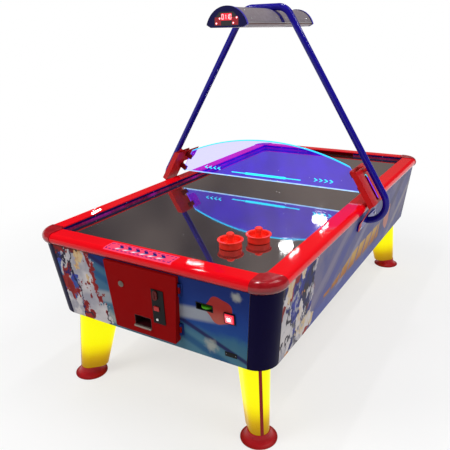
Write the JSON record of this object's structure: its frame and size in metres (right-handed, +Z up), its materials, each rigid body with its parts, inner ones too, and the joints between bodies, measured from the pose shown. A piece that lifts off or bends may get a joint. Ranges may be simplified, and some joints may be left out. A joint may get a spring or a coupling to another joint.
{
  "type": "arcade air hockey table",
  "caption": "Coin-operated air hockey table on lit corner legs, with a tapered cabinet, red rails, a tube gantry holding a scoring lamp, and a clear centre shield.",
  "frame": {"origin": "on the floor, under the middle of the table", "axes": "+X right as seen from the coin door end, +Y from the coin door end to the far end, +Z up"},
  "size_m": [1.44, 2.3222, 1.78],
  "materials": {
    "panel_end": "printed laminate on board",
    "panel_side": "printed laminate on board",
    "column": "gloss enamel",
    "raw_board": "bare board",
    "playfield": "polished laminate",
    "rail": "gloss red lacquer",
    "rail_cap": "gloss",
    "field_wall": "dark blue anodised",
    "field_trim": "satin",
    "fastener": "zinc plated",
    "chute": "satin",
    "outlet": "fine grain",
    "puck": "fluorescent",
    "leg_post": "gloss enamel",
    "leg_cover": "translucent, lit from inside",
    "foot": "gloss enamel",
    "light": "frosted light bar",
    "gantry": "gloss enamel",
    "bracket": "satin enamel",
    "shield": "clear tinted sheet",
    "lamp_body": "brushed",
    "lamp_cap": "gloss",
    "score_panel": "dark window",
    "diffuser": "opal",
    "light_tube": "frosted",
    "door": "hammered enamel",
    "door_frame": "satin",
    "lock": "polished",
    "plug": "turned",
    "coin_plate": "fine grain",
    "coin_entry": "translucent red",
    "coin_cup": "brushed",
    "inner_plastic": "moulded",
    "sheet_steel": "galvanised",
    "bezel": "fine grain",
    "button": "lit",
    "motor": "enamel",
    "impeller": "cast",
    "striker": "gloss"
  },
  "bodies": {
    "table": {"panel_front": "panel_end", "panel_rear": "panel_end", "panel_left": "panel_side", "panel_right": "panel_side", "corner_columns": "column", "bottom_board": "raw_board", "top_frame": "raw_board", "plenum_floor": "raw_board", "playfield": "playfield", "rail_front": "rail", "rail_rear": "rail", "rail_left": "rail", "rail_right": "rail", "corner_caps": "rail_cap", "field_walls": "field_wall", "field_trim": "field_trim", "trim_screws": "fastener", "goal_chutes": "chute", "puck_outlets": "outlet", "leg_posts": "leg_post", "leg_covers": "leg_cover", "feet": "foot", "leg_lights": "light", "gantry_left": "gantry", "gantry_right": "gantry", "gantry_spigot": "fastener", "gantry_flanges": "gantry", "bolts": "fastener", "bracket_left": "bracket", "bracket_right": "bracket", "shield": "shield", "shield_clips": "fastener", "shield_screws": "fastener", "lamp_body": "lamp_body", "lamp_caps": "lamp_cap", "score_panels": "score_panel", "lamp_diffuser": "diffuser", "lamp_saddle": "lamp_cap", "lamp_tubes": "light_tube", "coin_frame": "door_frame", "door_hinges": "fastener", "cash_box": "sheet_steel", "start_bezel": "bezel", "blower_housing": "sheet_steel", "blower_motor": "motor", "power_inlet": "bezel"},
    "coin_door": {"coin_door": "door", "lock_body": "lock", "coin_plate": "coin_plate", "coin_entry": "coin_entry", "coin_cup": "coin_cup", "coin_validator": "inner_plastic"},
    "lock_plug": {"lock_plug": "plug"},
    "reject_button": {"reject_button": "coin_entry"},
    "start_button": {"start_button": "button"},
    "blower_impeller": {"blower_impeller": "impeller"},
    "striker_1": {"striker_1": "striker"},
    "striker_2": {"striker_2": "striker"},
    "puck": {"puck": "puck"},
    "power_switch": {"power_switch": "coin_entry"}
  },
  "joints": [
    {"name": "coin_door_hinge", "type": "hinge", "parent": "table", "child": "coin_door", "pos_m": [0.18291, -1.13061, 0.58694], "axis": [0.0939, -0.1058, 0.9899], "range_deg": [0, 105]},
    {"name": "lock_turn", "type": "hinge", "parent": "coin_door", "child": "lock_plug", "pos_m": [-0.105, -1.15267, 0.64873], "axis": [0, 0.9992, 0.0405], "range_deg": [0, 90]},
    {"name": "reject_button_press", "type": "slide", "parent": "coin_door", "child": "reject_button", "axis": [0, 0.9992, 0.0405], "range_m": [0, 0.003], "stiffness_N_per_m": 300, "springref_m": -0.001},
    {"name": "start_button_press", "type": "slide", "parent": "table", "child": "start_button", "axis": [0, 0.9943, 0.1062], "range_m": [0, 0.004], "stiffness_N_per_m": 400, "springref_m": -0.001},
    {"name": "impeller_spin", "type": "hinge", "parent": "table", "child": "blower_impeller", "pos_m": [0, 0.4, 0.6], "axis": [0, 0, 1], "continuous": true},
    {"name": "striker_1_slide", "type": "slide", "parent": "table", "child": "striker_1", "axis": [1, 0, 0], "range_m": [-0.72, 0.02]},
    {"name": "striker_2_slide", "type": "slide", "parent": "table", "child": "striker_2", "axis": [0, 1, 0], "range_m": [0, 0.64]},
    {"name": "puck_slide", "type": "slide", "parent": "table", "child": "puck", "axis": [0, -0.9943, -0.1062], "range_m": [0, 0.09]},
    {"name": "power_switch_rock", "type": "hinge", "parent": "table", "child": "power_switch", "pos_m": [-0.418, 1.10831, 0.43472], "axis": [-1, 0, 0], "range_deg": [0, 20]}
  ]
}
